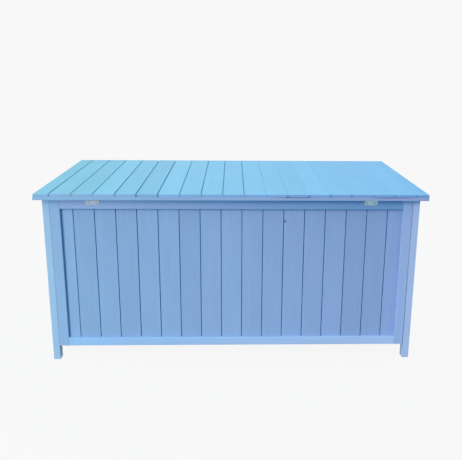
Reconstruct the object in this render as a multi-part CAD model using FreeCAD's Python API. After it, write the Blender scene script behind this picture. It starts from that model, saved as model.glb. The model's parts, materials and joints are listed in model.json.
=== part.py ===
import FreeCAD, Part
import math
import os

# A painted wooden storage chest: framed walls of matched boards on four legs, and a boarded lid
# that turns on two butt hinges. The side with the hinges faces -Y, +X runs along the chest to the
# right as seen from that side, and +Z is up. The origin is on the floor, under the lid's centre.
# All lengths are in millimetres.

# Overall sizes
lid_length = 1200.0
lid_depth = 650.0
overall_height = 551.0
lid_overhang = 21.0

# Matched boards: tongue on one edge, groove on the other, eased arrises on the show face
board_thickness = 9.0
board_face = 63.7
lid_joint_gap = 1.6
wall_joint_gap = 1.1
board_arris = 0.7
tongue_thickness = 3.0
tongue_reach = 2.4
tongue_side_clearance = 0.15
tongue_end_clearance = 0.5
narrowest_board = 18.0
board_fit = 0.5

# Frame timbers. Stiles and rails are as thick as a lip, which shows, and the boards behind it
leg_face = 22.0
leg_depth = 28.0
stile_face = 30.0
frame_lip = 10.0
top_rail_height = 31.5
bottom_rail_height = 26.5
bottom_rail_clearance = 47.5
timber_arris = 1.0

# The rebate round the back of a frame's opening, which the ends of its boards lie in
rebate_width = 12.0

# The boards of the lid and of the hinge side were set out a little off centre
lid_joint_shift = 2.0
hinge_side_joint_shift = -3.7

# Lid
lid_batten_thickness = 10.0
lid_batten_width = 40.0
batten_arris = 1.0
lid_seat_gap = 0.3

# Floor
bearer_depth = 20.0
bearer_height = 20.0
middle_bearer_width = 40.0

# Butt hinges: pressed leaves rolled round a headed pin
hinge_inset = 101.0
hinge_length = 40.0
hinge_leaf_thickness = 1.2
hinge_leaf_reach = 14.6
hinge_pin_radius = 1.5
hinge_pin_clearance = 0.05
hinge_pin_head_radius = 2.3
hinge_pin_head_height = 0.6
hinge_knuckle_count = 5
hinge_knuckle_gap = 0.3
hinge_barrel_standoff = 0.3
hinge_seat_clearance = 0.2
hinge_screw_place_share = 0.3

# Fasteners
fastener_clearance = 0.05
hinge_screw_radius = 1.4
hinge_screw_head_radius = 2.7
hinge_screw_head_height = 1.1
hinge_rail_screw_length = 16.0
hinge_lid_screw_length = 10.0
frame_screw_radius = 2.0
frame_screw_head_radius = 3.8
frame_screw_head_height = 2.4
frame_screw_length = 36.0
recess_width_share = 0.16
recess_length_share = 0.55
recess_depth_share = 0.6
tip_radius_share = 0.35
tip_length_share = 1.0
nail_radius = 0.8
nail_head_radius = 1.7
nail_head_height = 0.6
lid_nail_length = 15.0
wall_nail_length = 16.0
floor_nail_length = 20.0
lid_nail_edge_distance = 10.0
dowel_radius = 3.0
dowel_length = 24.0
corner_screw_height_shares = (0.2, 0.5, 0.8)
bearer_screw_place_shares = (-0.42, -0.14, 0.14, 0.42)
screw_height_share = 0.3

# One overrun lets every cut pass clean through the surface that it starts from
cut_overrun = 1.0

# Two unit directions count as parallel when their cross product is shorter than this share
parallel_tolerance = 1e-6

# Heights
lid_top = overall_height
lid_underside = lid_top - board_thickness - lid_batten_thickness
frame_top = lid_underside - lid_seat_gap
top_rail_bottom = frame_top - top_rail_height
bottom_rail_bottom = bottom_rail_clearance
bottom_rail_top = bottom_rail_bottom + bottom_rail_height
rebate_bottom = bottom_rail_top - rebate_width
rebate_top = top_rail_bottom + rebate_width
bearer_bottom = bottom_rail_bottom
bearer_top = bearer_bottom + bearer_height
floor_top = bearer_top + board_thickness

# Distances from the middle of the chest, from the outside inwards
body_half_length = lid_length / 2 - lid_overhang
body_half_depth = lid_depth / 2 - lid_overhang
leg_inner_x = body_half_length - leg_face
stile_inner_x = leg_inner_x - stile_face
rebate_end_x = stile_inner_x + rebate_width
end_board_face_x = body_half_length - frame_lip
end_inner_x = end_board_face_x - board_thickness
leg_inner_y = body_half_depth - leg_depth
board_face_y = body_half_depth - frame_lip
wall_inner_y = board_face_y - board_thickness
bearer_inner_y = wall_inner_y - bearer_depth

# Hinge geometry: both leaves lie tangent to the barrel, a standoff clear of the wood, and each
# hinge's middle stands the same distance in from its end of the top rail
hinge_centre_x = stile_inner_x - hinge_inset
barrel_radius = hinge_pin_radius + hinge_pin_clearance + hinge_leaf_thickness
leaf_back = barrel_radius + hinge_barrel_standoff
hinge_axis_y = -body_half_depth - leaf_back
hinge_axis_z = lid_underside - leaf_back

X = FreeCAD.Vector(1, 0, 0)
Y = FreeCAD.Vector(0, 1, 0)
Z = FreeCAD.Vector(0, 0, 1)
ORIGIN = FreeCAD.Vector(0, 0, 0)

HINGE_SIDE = -1
FAR_SIDE = 1
LEFT = -1
RIGHT = 1

# Degrees from the rail leaf, which hangs down, to each leaf of a shut hinge
RAIL_TURN = 0
LID_TURN = 90


def point(x, y, z):
    return FreeCAD.Vector(x, y, z)


def block(x_range, y_range, z_range):
    """A rectangular piece. Each range may be given from either end."""
    low = point(min(x_range), min(y_range), min(z_range))
    high = point(max(x_range), max(y_range), max(z_range))
    size = high - low
    return Part.makeBox(size.x, size.y, size.z, low)


def eased(piece, grain, arris):
    """Plane a small chamfer along the four edges that run with the grain."""
    edges = []
    for edge in piece.Edges:
        direction = edge.Vertexes[-1].Point - edge.Vertexes[0].Point
        if direction.normalize().cross(grain).Length < parallel_tolerance:
            edges.append(edge)
    return piece.makeChamfer(arris, edges)


# Matched boards

def board_section(width, grooved, tongued, gap):
    """Outline of a board's end: across its width, and from its back to its show face."""
    tongue_low = (board_thickness - tongue_thickness) / 2
    tongue_high = tongue_low + tongue_thickness
    groove_low = tongue_low - tongue_side_clearance
    groove_high = tongue_high + tongue_side_clearance
    groove_depth = tongue_reach + tongue_end_clearance
    tongue_tip = width + gap + tongue_reach
    shoulder = board_thickness - board_arris
    outline = [(0, 0), (width, 0)]
    if tongued:
        outline += [(width, tongue_low), (tongue_tip, tongue_low)]
        outline += [(tongue_tip, tongue_high), (width, tongue_high)]
    outline += [(width, shoulder), (width - board_arris, board_thickness)]
    outline += [(board_arris, board_thickness), (0, shoulder)]
    if grooved:
        outline += [(0, groove_high), (groove_depth, groove_high)]
        outline += [(groove_depth, groove_low), (0, groove_low)]
    return outline


def set_out(low, high, joint, gap):
    """Set boards out from low to high, with one joint at the given place, the end ones ripped to fit.

    Gives (near edge, width, grooved, tongued, gap) for each board.
    """
    joints = []
    pitch = board_face + gap
    joint -= pitch * math.floor((joint - low - narrowest_board) / pitch)
    while joint < high - narrowest_board:
        joints.append(joint)
        joint += pitch
    half_gap = gap / 2
    near_edges = [low] + [joint + half_gap for joint in joints]
    far_edges = [joint - half_gap for joint in joints] + [high]
    row = []
    for number, (near, far) in enumerate(zip(near_edges, far_edges)):
        row.append((near, far - near, number > 0, number < len(joints), gap))
    return row


def board(entry, corner, across, outward, along, length):
    """One board of a row: its section laid out from the corner, then drawn along its length."""
    near, width, grooved, tongued, gap = entry
    outline = board_section(width, grooved, tongued, gap)
    ring = [corner + across * (near + u) + outward * w for u, w in outline]
    face = Part.Face(Part.makePolygon(ring + [ring[0]]))
    return face.extrude(along * length)


def middle_of(entry):
    """The centre line of a board in a row."""
    return entry[0] + entry[1] / 2


half_lid_board = (board_face + lid_joint_gap) / 2
half_wall_board = (board_face + wall_joint_gap) / 2
side_reach = rebate_end_x - board_fit
end_reach = leg_inner_y - board_fit
floor_reach = leg_inner_x - board_fit
lid_row = set_out(-lid_length / 2, lid_length / 2, lid_joint_shift + half_lid_board, lid_joint_gap)
hinge_side_row = set_out(-side_reach, side_reach, hinge_side_joint_shift + half_wall_board, wall_joint_gap)
far_side_row = set_out(-side_reach, side_reach, half_wall_board, wall_joint_gap)
end_row = set_out(-end_reach, end_reach, half_wall_board, wall_joint_gap)
floor_row = set_out(-floor_reach, floor_reach, 0, wall_joint_gap)


# Fasteners: each function gives the piece and the slightly larger hole that it needs

def cylinder(radius, length, start, direction):
    return Part.makeCylinder(radius, length, start, direction)


def pointed_shank(radius, length, start, direction):
    """A round shank whose last stretch, a share of its diameter long, narrows to a blunt point."""
    tip_length = tip_length_share * 2 * radius
    straight = cylinder(radius, length - tip_length, start, direction)
    tip_start = start + direction * (length - tip_length)
    tip = Part.makeCone(radius, tip_radius_share * radius, tip_length, tip_start, direction)
    return straight.fuse(tip).removeSplitter()


def cross_recess(head_radius, head_height, head, direction):
    """The crossed slots in a screw's head."""
    width = recess_width_share * 2 * head_radius
    length = recess_length_share * 2 * head_radius
    depth = recess_depth_share * head_height
    slots = []
    for long_side, short_side in ((length, width), (width, length)):
        slot = Part.makeBox(long_side, short_side, depth + cut_overrun)
        slot.translate(point(-long_side / 2, -short_side / 2, -cut_overrun))
        slots.append(slot)
    recess = slots[0].fuse(slots[1])
    recess.Placement = FreeCAD.Placement(head, FreeCAD.Rotation(Z, direction))
    return recess


def countersunk_screw(radius, head_radius, head_height, length, head, direction):
    """A countersunk screw with its head flush at the given point."""
    cone = Part.makeCone(head_radius, radius, head_height, head, direction)
    shank = pointed_shank(radius, length, head, direction)
    screw = cone.fuse(shank).removeSplitter()
    screw = screw.cut(cross_recess(head_radius, head_height, head, direction))
    spare = fastener_clearance
    sink = Part.makeCone(head_radius + spare, radius + spare, head_height, head, direction)
    pilot = cylinder(radius + spare, length + spare, head, direction)
    return screw, sink.fuse(pilot)


def nail(length, head, direction):
    """A flat-headed nail driven flush at the given point."""
    disc = cylinder(nail_head_radius, nail_head_height, head, direction)
    shank = pointed_shank(nail_radius, length, head, direction)
    spare = fastener_clearance
    seat = cylinder(nail_head_radius + spare, nail_head_height + spare, head, direction)
    pilot = cylinder(nail_radius + spare, length + spare, head, direction)
    return disc.fuse(shank), seat.fuse(pilot)


def dowel(joint, direction):
    """A plain dowel, half in each of the two pieces that meet at the joint."""
    spare = fastener_clearance
    start = joint - direction * (dowel_length / 2)
    hole_start = start - direction * spare
    peg = cylinder(dowel_radius, dowel_length, start, direction)
    return peg, cylinder(dowel_radius + spare, dowel_length + 2 * spare, hole_start, direction)


# Body

def leg(x_side, y_side):
    x_range = (x_side * body_half_length, x_side * leg_inner_x)
    y_range = (y_side * body_half_depth, y_side * leg_inner_y)
    return eased(block(x_range, y_range, (0, frame_top)), Z, timber_arris)


def long_side_rebate(y_side):
    """The rebate round the back of a long side's opening."""
    x_range = (-rebate_end_x, rebate_end_x)
    y_range = (y_side * board_face_y, y_side * (wall_inner_y - cut_overrun))
    return block(x_range, y_range, (rebate_bottom, rebate_top))


def end_rebate(x_side):
    """The rebate along the back of an end's two rails."""
    x_range = (x_side * end_board_face_x, x_side * (end_inner_x - cut_overrun))
    reach = leg_inner_y + cut_overrun
    return block(x_range, (-reach, reach), (rebate_bottom, rebate_top))


def long_side_stile(x_side, y_side):
    x_range = (x_side * leg_inner_x, x_side * stile_inner_x)
    y_range = (y_side * body_half_depth, y_side * wall_inner_y)
    stile = eased(block(x_range, y_range, (bottom_rail_bottom, frame_top)), Z, timber_arris)
    return stile.cut(long_side_rebate(y_side))


def long_side_rail(y_side, z_range):
    x_range = (-stile_inner_x, stile_inner_x)
    y_range = (y_side * body_half_depth, y_side * wall_inner_y)
    return eased(block(x_range, y_range, z_range), X, timber_arris).cut(long_side_rebate(y_side))


def end_rail(x_side, z_range):
    x_range = (x_side * body_half_length, x_side * end_inner_x)
    y_range = (-leg_inner_y, leg_inner_y)
    return eased(block(x_range, y_range, z_range), Y, timber_arris).cut(end_rebate(x_side))


def long_side_boards(y_side, row):
    """The upright boards of a long wall, in the rebate of its frame."""
    corner = point(0, y_side * wall_inner_y, rebate_bottom + board_fit)
    length = rebate_top - rebate_bottom - 2 * board_fit
    return [board(entry, corner, X, Y * y_side, Z, length) for entry in row]


def end_boards(x_side):
    """The upright boards of an end wall, between its legs and in the rebates of its rails."""
    corner = point(x_side * end_inner_x, 0, rebate_bottom + board_fit)
    length = rebate_top - rebate_bottom - 2 * board_fit
    return [board(entry, corner, Y, X * x_side, Z, length) for entry in end_row]


def floor_boards():
    length = 2 * (wall_inner_y - board_fit)
    corner = point(0, -length / 2, bearer_top)
    return [board(entry, corner, X, Z, Y, length) for entry in floor_row]


def side_bearer(y_side):
    y_range = (y_side * wall_inner_y, y_side * bearer_inner_y)
    bearer = block((-leg_inner_x, leg_inner_x), y_range, (bearer_bottom, bearer_top))
    return eased(bearer, X, timber_arris)


def middle_bearer():
    y_range = (-middle_bearer_width / 2, middle_bearer_width / 2)
    bearer = block((-end_inner_x, end_inner_x), y_range, (bearer_bottom, bearer_top))
    return eased(bearer, X, timber_arris)


def leaf_mortise(x_side):
    """The shallow housing in the rail's top that takes a lid leaf when the lid is shut."""
    half_length = hinge_length / 2 + hinge_seat_clearance
    centre = x_side * hinge_centre_x
    leaf_bottom = lid_underside - hinge_leaf_thickness
    leaf_edge = hinge_axis_y + hinge_leaf_reach
    x_range = (centre - half_length, centre + half_length)
    y_range = (-body_half_depth - cut_overrun, leaf_edge + hinge_seat_clearance)
    z_range = (leaf_bottom - hinge_seat_clearance, frame_top + cut_overrun)
    return block(x_range, y_range, z_range)


# Lid

def lid_boards():
    corner = point(0, -lid_depth / 2, lid_underside + lid_batten_thickness)
    return [board(entry, corner, X, Z, Y, lid_depth) for entry in lid_row]


def lid_batten(x_range, y_range, grain):
    z_range = (lid_underside, lid_underside + lid_batten_thickness)
    return eased(block(x_range, y_range, z_range), grain, batten_arris)


def long_lid_batten(y_side):
    edge = lid_depth / 2
    y_range = (y_side * edge, y_side * (edge - lid_batten_width))
    return lid_batten((-lid_length / 2, lid_length / 2), y_range, X)


def end_lid_batten(x_side):
    edge = lid_length / 2
    reach = lid_depth / 2 - lid_batten_width
    x_range = (x_side * edge, x_side * (edge - lid_batten_width))
    return lid_batten(x_range, (-reach, reach), Y)


def middle_lid_batten():
    reach = lid_length / 2 - lid_batten_width
    return lid_batten((-reach, reach), (-lid_batten_width / 2, lid_batten_width / 2), X)


# Hinges, drawn about the pin's axis at the origin, with the leaf hanging down behind the barrel

def knuckle_range(number):
    """Start and end of one knuckle's share of the hinge's length."""
    share = hinge_length / hinge_knuckle_count
    start = -hinge_length / 2 + number * share
    near_gap = hinge_knuckle_gap / 2 if number > 0 else 0
    far_gap = hinge_knuckle_gap / 2 if number < hinge_knuckle_count - 1 else 0
    return start + near_gap, start + share - far_gap


def hinge_leaf(first_knuckle):
    """A leaf with every second knuckle, from the given one, and notches for the other leaf's."""
    half = hinge_length / 2
    bore_radius = hinge_pin_radius + hinge_pin_clearance
    sheet_face = leaf_back - hinge_leaf_thickness
    leaf = block((-half, half), (sheet_face, leaf_back), (-hinge_leaf_reach, 0))
    for number in range(hinge_knuckle_count):
        start, end = knuckle_range(number)
        if number % 2 == first_knuckle:
            barrel = cylinder(barrel_radius, end - start, point(start, 0, 0), X)
            leaf = leaf.fuse(barrel)
        else:
            notch_start = start - hinge_knuckle_gap if number > 0 else start - cut_overrun
            last = number == hinge_knuckle_count - 1
            notch_end = end + cut_overrun if last else end + hinge_knuckle_gap
            depth = barrel_radius + hinge_knuckle_gap
            y_range = (0, leaf_back + cut_overrun)
            leaf = leaf.cut(block((notch_start, notch_end), y_range, (-depth, cut_overrun)))
    bore = cylinder(bore_radius, hinge_length + 2 * cut_overrun, point(-half - cut_overrun, 0, 0), X)
    return leaf.cut(bore).removeSplitter()


def hinge_pin():
    """The pin, with a flat head at each end of the barrel."""
    head = hinge_pin_head_height
    gap = hinge_pin_clearance
    half = hinge_length / 2 + gap
    pin = cylinder(hinge_pin_radius, 2 * half, point(-half, 0, 0), X)
    for start in (-half - head, half):
        pin = pin.fuse(cylinder(hinge_pin_head_radius, head, point(start, 0, 0), X))
    return pin.removeSplitter()


def at_hinge(shape, x_side, turn):
    """Turn a shape about the pin's axis, in degrees, and move it to one of the two hinges."""
    placed = shape.copy()
    placed.rotate(ORIGIN, X, turn)
    placed.translate(point(x_side * hinge_centre_x, hinge_axis_y, hinge_axis_z))
    return placed


# Where the fasteners go

def long_wall_nails(y_side, row):
    """One nail through each board into the top rail and one into the bottom rail."""
    heights = (top_rail_bottom + rebate_width / 2, bottom_rail_top - rebate_width / 2)
    nails = []
    for entry in row:
        for height in heights:
            head = point(middle_of(entry), y_side * wall_inner_y, height)
            nails.append(nail(wall_nail_length, head, Y * y_side))
    return nails


def end_wall_nails(x_side):
    heights = (top_rail_bottom + rebate_width / 2, bottom_rail_top - rebate_width / 2)
    nails = []
    for entry in end_row:
        for height in heights:
            head = point(x_side * end_inner_x, middle_of(entry), height)
            nails.append(nail(wall_nail_length, head, X * x_side))
    return nails


def floor_nails():
    side_line = (wall_inner_y + bearer_inner_y) / 2
    nails = []
    for entry in floor_row:
        for y in (-side_line, 0, side_line):
            nails.append(nail(floor_nail_length, point(middle_of(entry), y, floor_top), -Z))
    return nails


def lid_nails():
    """Nails driven up through the battens into every board."""
    edge_line = lid_depth / 2 - lid_nail_edge_distance
    nails = []
    for entry in lid_row:
        for y in (-edge_line, 0, edge_line):
            inside_end_batten = abs(middle_of(entry)) > lid_length / 2 - lid_batten_width
            if y == 0 and inside_end_batten:
                continue
            nails.append(nail(lid_nail_length, point(middle_of(entry), y, lid_underside), Z))
    end_line = lid_length / 2 - lid_nail_edge_distance
    quarter = lid_depth / 4
    for x in (-end_line, end_line):
        for y in (-quarter, 0, quarter):
            nails.append(nail(lid_nail_length, point(x, y, lid_underside), Z))
    return nails


def frame_screw(head, direction):
    return countersunk_screw(frame_screw_radius, frame_screw_head_radius, frame_screw_head_height,
                             frame_screw_length, head, direction)


def frame_screws():
    """Screws through the legs into the stiles, and the ones that hold the floor bearers."""
    screws = []
    stile_line = (body_half_depth + wall_inner_y) / 2
    screw_height = bottom_rail_bottom + screw_height_share * bottom_rail_height
    for x_side in (LEFT, RIGHT):
        outside = x_side * body_half_length
        for y_side in (HINGE_SIDE, FAR_SIDE):
            for share in corner_screw_height_shares:
                head = point(outside, y_side * stile_line, share * frame_top)
                screws.append(frame_screw(head, X * -x_side))
        screws.append(frame_screw(point(outside, 0, screw_height), X * -x_side))
    for y_side in (HINGE_SIDE, FAR_SIDE):
        for share in bearer_screw_place_shares:
            head = point(share * 2 * leg_inner_x, y_side * bearer_inner_y, screw_height)
            screws.append(frame_screw(head, Y * y_side))
    return screws


def rail_dowels():
    """A dowel in each end of every rail."""
    heights = ((rebate_top + frame_top) / 2, (bottom_rail_bottom + rebate_bottom) / 2)
    stile_line = (body_half_depth + wall_inner_y) / 2
    leg_line = (body_half_length + end_inner_x) / 2
    dowels = []
    for height in heights:
        for x_side in (LEFT, RIGHT):
            for y_side in (HINGE_SIDE, FAR_SIDE):
                dowels.append(dowel(point(x_side * stile_inner_x, y_side * stile_line, height), X))
                dowels.append(dowel(point(x_side * leg_line, y_side * leg_inner_y, height), Y))
    return dowels


def hinge_screws(length, turn):
    """The two screws in one leaf of each hinge."""
    across = (leaf_back + hinge_leaf_reach) / 2
    face = leaf_back - hinge_leaf_thickness
    screws = []
    for x_side in (LEFT, RIGHT):
        for share in (-hinge_screw_place_share, hinge_screw_place_share):
            head = point(share * hinge_length, face, -across)
            parts = countersunk_screw(hinge_screw_radius, hinge_screw_head_radius,
                                      hinge_screw_head_height, length, head, Y)
            screws.append(tuple(at_hinge(shape, x_side, turn) for shape in parts))
    return screws


# Assembly: every node is a list of separate solids

def wooden_pieces():
    pieces = {}
    long_sides = (("hinge_side", HINGE_SIDE, hinge_side_row), ("far_side", FAR_SIDE, far_side_row))
    ends = (("left", LEFT), ("right", RIGHT))
    top_range = (top_rail_bottom, frame_top)
    bottom_range = (bottom_rail_bottom, bottom_rail_top)
    for side_name, y_side, row in long_sides:
        for end_name, x_side in ends:
            pieces[f"{side_name}_{end_name}_leg"] = [leg(x_side, y_side)]
            pieces[f"{side_name}_{end_name}_stile"] = [long_side_stile(x_side, y_side)]
        pieces[f"{side_name}_top_rail"] = [long_side_rail(y_side, top_range)]
        pieces[f"{side_name}_bottom_rail"] = [long_side_rail(y_side, bottom_range)]
        pieces[f"{side_name}_boards"] = long_side_boards(y_side, row)
        pieces[f"floor_bearer_{side_name}"] = [side_bearer(y_side)]
        pieces[f"lid_batten_{side_name}"] = [long_lid_batten(y_side)]
    for end_name, x_side in ends:
        pieces[f"{end_name}_end_top_rail"] = [end_rail(x_side, top_range)]
        pieces[f"{end_name}_end_bottom_rail"] = [end_rail(x_side, bottom_range)]
        pieces[f"{end_name}_end_boards"] = end_boards(x_side)
        pieces[f"lid_batten_{end_name}"] = [end_lid_batten(x_side)]
    pieces["floor_bearer_middle"] = [middle_bearer()]
    pieces["floor_boards"] = floor_boards()
    pieces["lid_batten_middle"] = [middle_lid_batten()]
    for number, piece in enumerate(lid_boards(), start=1):
        pieces[f"lid_board_{number:02d}"] = [piece]
    rail = pieces["hinge_side_top_rail"][0]
    for x_side in (LEFT, RIGHT):
        rail = rail.cut(leaf_mortise(x_side))
    pieces["hinge_side_top_rail"] = [rail]
    return pieces


def hinge_pieces():
    pieces = {}
    for end_name, x_side in (("left", LEFT), ("right", RIGHT)):
        pieces[f"hinge_{end_name}_rail_leaf"] = [at_hinge(hinge_leaf(0), x_side, RAIL_TURN)]
        pieces[f"hinge_{end_name}_lid_leaf"] = [at_hinge(hinge_leaf(1), x_side, LID_TURN)]
        pieces[f"hinge_{end_name}_pin"] = [at_hinge(hinge_pin(), x_side, RAIL_TURN)]
    return pieces


def fasteners():
    """Every fastener with its hole, by node."""
    wall_nails = long_wall_nails(HINGE_SIDE, hinge_side_row) + long_wall_nails(FAR_SIDE, far_side_row)
    wall_nails += end_wall_nails(LEFT) + end_wall_nails(RIGHT)
    return {
        "body_nails": wall_nails + floor_nails(),
        "lid_nails": lid_nails(),
        "frame_screws": frame_screws(),
        "rail_dowels": rail_dowels(),
        "hinge_rail_screws": hinge_screws(hinge_rail_screw_length, RAIL_TURN),
        "hinge_lid_screws": hinge_screws(hinge_lid_screw_length, LID_TURN),
    }


def bored(piece, holes):
    """Cut from a piece the holes of the fasteners that reach it."""
    reached = [hole for hole in holes if piece.BoundBox.intersect(hole.BoundBox)]
    if not reached:
        return piece
    return piece.cut(reached)


def build():
    nodes = wooden_pieces()
    nodes.update(hinge_pieces())
    fastener_nodes = fasteners()
    holes = [hole for pairs in fastener_nodes.values() for piece, hole in pairs]
    for name, solids in nodes.items():
        nodes[name] = [bored(solid, holes) for solid in solids]
    for name, pairs in fastener_nodes.items():
        nodes[name] = [piece for piece, hole in pairs]
    return nodes


def write(nodes):
    os.makedirs("parts", exist_ok=True)
    for name, shapes in nodes.items():
        solids = [solid for shape in shapes for solid in shape.Solids]
        broken = [solid for solid in solids if not solid.isValid() or solid.Volume <= 0]
        if broken or len(solids) != len(shapes):
            raise RuntimeError(f"{name}: {len(shapes)} pieces gave {len(solids)} solids")
        shape = solids[0] if len(solids) == 1 else Part.makeCompound(solids)
        shape.exportStep(f"parts/{name}.step")
        box = shape.BoundBox
        print(f"{name}: {len(solids)} solid(s), x {box.XMin:.1f} to {box.XMax:.1f},",
              f"y {box.YMin:.1f} to {box.YMax:.1f}, z {box.ZMin:.1f} to {box.ZMax:.1f}")
    print(len(nodes), "nodes")


write(build())
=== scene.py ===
# %% [markdown]
# # A painted storage chest
# The chest is softwood boards and frame timbers, nailed and screwed together and then brushed with
# light blue paint. Its timbers, nails, screws and hinges come in as a fixed frame, each at its real
# size and place. This lesson dresses them: it wears their edges, moves the joints of the boards a
# little, and gives each surface its finish. All lengths are in metres, and one millimetre is MM.

# %% Load the frame
import json
import random
from math import pi, radians

import bmesh
import bpy
from mathutils import Matrix, Vector, noise

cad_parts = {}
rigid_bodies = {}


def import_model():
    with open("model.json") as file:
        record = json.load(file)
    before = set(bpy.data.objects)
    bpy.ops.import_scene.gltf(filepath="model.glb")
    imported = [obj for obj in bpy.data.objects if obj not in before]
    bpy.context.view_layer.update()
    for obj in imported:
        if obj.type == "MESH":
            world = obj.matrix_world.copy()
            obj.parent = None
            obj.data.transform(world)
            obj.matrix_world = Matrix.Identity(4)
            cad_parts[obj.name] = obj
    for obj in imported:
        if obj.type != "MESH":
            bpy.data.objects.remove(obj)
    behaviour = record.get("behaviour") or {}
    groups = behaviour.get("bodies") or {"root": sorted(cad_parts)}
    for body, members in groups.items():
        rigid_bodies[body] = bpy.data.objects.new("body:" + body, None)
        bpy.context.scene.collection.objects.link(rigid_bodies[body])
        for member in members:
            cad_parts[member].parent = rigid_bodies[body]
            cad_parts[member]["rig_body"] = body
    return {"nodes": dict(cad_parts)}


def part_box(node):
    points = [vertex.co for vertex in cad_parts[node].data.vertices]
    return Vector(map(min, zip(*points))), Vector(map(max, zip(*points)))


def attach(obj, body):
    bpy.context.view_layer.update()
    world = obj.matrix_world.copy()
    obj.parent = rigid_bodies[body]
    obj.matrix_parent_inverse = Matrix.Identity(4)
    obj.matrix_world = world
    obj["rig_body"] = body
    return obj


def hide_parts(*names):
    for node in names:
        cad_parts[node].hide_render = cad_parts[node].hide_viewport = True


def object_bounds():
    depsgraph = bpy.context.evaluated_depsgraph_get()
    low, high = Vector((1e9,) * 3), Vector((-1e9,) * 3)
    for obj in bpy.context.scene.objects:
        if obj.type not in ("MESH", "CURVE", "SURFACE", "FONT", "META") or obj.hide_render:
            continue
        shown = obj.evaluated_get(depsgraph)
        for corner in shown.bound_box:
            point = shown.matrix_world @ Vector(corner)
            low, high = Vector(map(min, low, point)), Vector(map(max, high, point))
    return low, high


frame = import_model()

MM = 0.001
cad_low, cad_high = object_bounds()
nodes = frame["nodes"]
print(len(nodes), "nodes in a box of", [round(side, 3) for side in cad_high - cad_low])

# %% [markdown]
# ## Camera
# The picture is taken head-on from a little above, with a lens of about 50 mm on a 36 mm wide
# picture. The camera could be turned with Euler angles alone, but three plain turns that are
# multiplied in a known order are easier to check: yaw to one side, a trace of roll, and pitch down.
# The chest stands a little left of the middle, so the lens is shifted sideways, as a cropped
# picture is. The shift moves the frame only, and the perspective stays as it is.

# %% Make the camera
CAMERA_PLACE = Vector((-0.0005, -2.2193, 0.9556))
CAMERA_PITCH = radians(15.22)
CAMERA_ROLL = radians(0.05)
CAMERA_YAW = radians(1.91)
FOCAL_LENGTH = 49.93
SENSOR_WIDTH = 36.0
FRAME_SHIFT = -0.0498

world_to_view = (
    Matrix.Rotation(CAMERA_YAW, 3, "Z")
    @ Matrix.Rotation(CAMERA_ROLL, 3, "Y")
    @ Matrix.Rotation(CAMERA_PITCH, 3, "X")
)
level_camera = Matrix.Rotation(pi / 2, 3, "X")
camera_data = bpy.data.cameras.new("camera")
camera_data.lens = FOCAL_LENGTH
camera_data.sensor_width = SENSOR_WIDTH
camera_data.shift_x = FRAME_SHIFT
camera = bpy.data.objects.new("camera", camera_data)
bpy.context.scene.collection.objects.link(camera)
camera.matrix_world = Matrix.LocRotScale(
    CAMERA_PLACE, (world_to_view.transposed() @ level_camera).to_quaternion(), None
)
bpy.context.scene.camera = camera
bpy.context.scene.view_settings.view_transform = "Standard"
print("camera", round((CAMERA_PLACE - (cad_low + cad_high) / 2).length, 3), "m from the chest's middle")

# %% [markdown]
# ## Helpers for materials
# A colour picked from a screen is sRGB, but shader nodes work with linear light, so one function
# turns a hex value into the numbers that a socket wants. Another makes a material that is still
# empty. A third adds a shader node with its properties, its sockets' values and the links that feed
# it. With them, a material reads from top to bottom as a list of what happens to the paint.

# %% Helpers for colours and nodes
def linear(code):
    """The linear colour, with full alpha, of an sRGB hex value."""
    channels = []
    for start in (0, 2, 4):
        value = int(code[start:start + 2], 16) / 255
        channels.append(value / 12.92 if value <= 0.04045 else ((value + 0.055) / 1.055) ** 2.4)
    return (*channels, 1.0)


def empty_material(name):
    """A new material without any shader nodes, and its node tree."""
    material = bpy.data.materials.new(name)
    material.use_nodes = True
    material.node_tree.nodes.clear()
    return material, material.node_tree


def add(tree, kind, values=None, links=None, **properties):
    """Add one shader node, set it, and link the given sockets to its inputs."""
    node = tree.nodes.new("ShaderNode" + kind)
    for name, value in properties.items():
        setattr(node, name, value)
    for name, value in (values or {}).items():
        node.inputs[name].default_value = value
    for name, source in (links or {}).items():
        tree.links.new(source, node.inputs[name])
    return node


# Places of a colour Mix node's sockets, which share their names with its other kinds
MIX_A = 6
MIX_B = 7
MIX_RESULT = 2

print("a mid grey, 808080, is", round(linear("808080")[0], 3), "in linear light")

# %% [markdown]
# ## Paint on wood
# The real finish is a water-based satin paint, brushed along the grain onto planed softwood. Up
# close it has three things that a flat colour lacks. The growth rings of the wood print through as
# soft ridges. The brush leaves fine furrows, and the coat is a little thicker or thinner from
# stroke to stroke. And no two boards took the paint quite alike.
#
# A picture of wood could be laid over each board, but it would have to be fitted to every piece.
# Here each piece carries an attribute instead, "timber", that gives every corner its place along,
# across and through its own board, with an offset of its own. One material can then draw rings and
# strokes that follow the grain of an upright board, a rail or a floor board alike.
#
# Knots show through the paint as faint round dents. They lie in some of the cells of a Voronoi
# texture, so they are far apart and never in rows.

# %% Patterns in the paint
# Growth rings, drawn out along the grain and bent from side to side
RING_SPACING = 5.5 * MM
RING_STRETCH = 40
RING_WANDER = 14.0
WANDER_SCALE = 0.12
RING_WAVE_SCALE = 1 / 6.2
RING_RELIEF = 0.05 * MM
# Brush strokes, and patches where the coat is thicker or thinner
STROKE_WIDTH = 2.6 * MM
STROKE_LENGTH = 110.0 * MM
STROKE_RELIEF = 0.035 * MM
PATCH_LENGTH = 170.0 * MM
PATCH_WIDTH = PATCH_LENGTH / 3
# Knots, and the share of the wood's cells that hold one
KNOT_SPACING = 105.0 * MM
KNOT_RADIUS = 5.0 * MM
KNOT_SHARE = 0.35
KNOT_RELIEF = 0.3 * MM


def stretch(across, along):
    """The scale at which one unit of a pattern is this wide across the grain and this long along it."""
    return 1 / along, 1 / across, 1 / across


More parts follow.
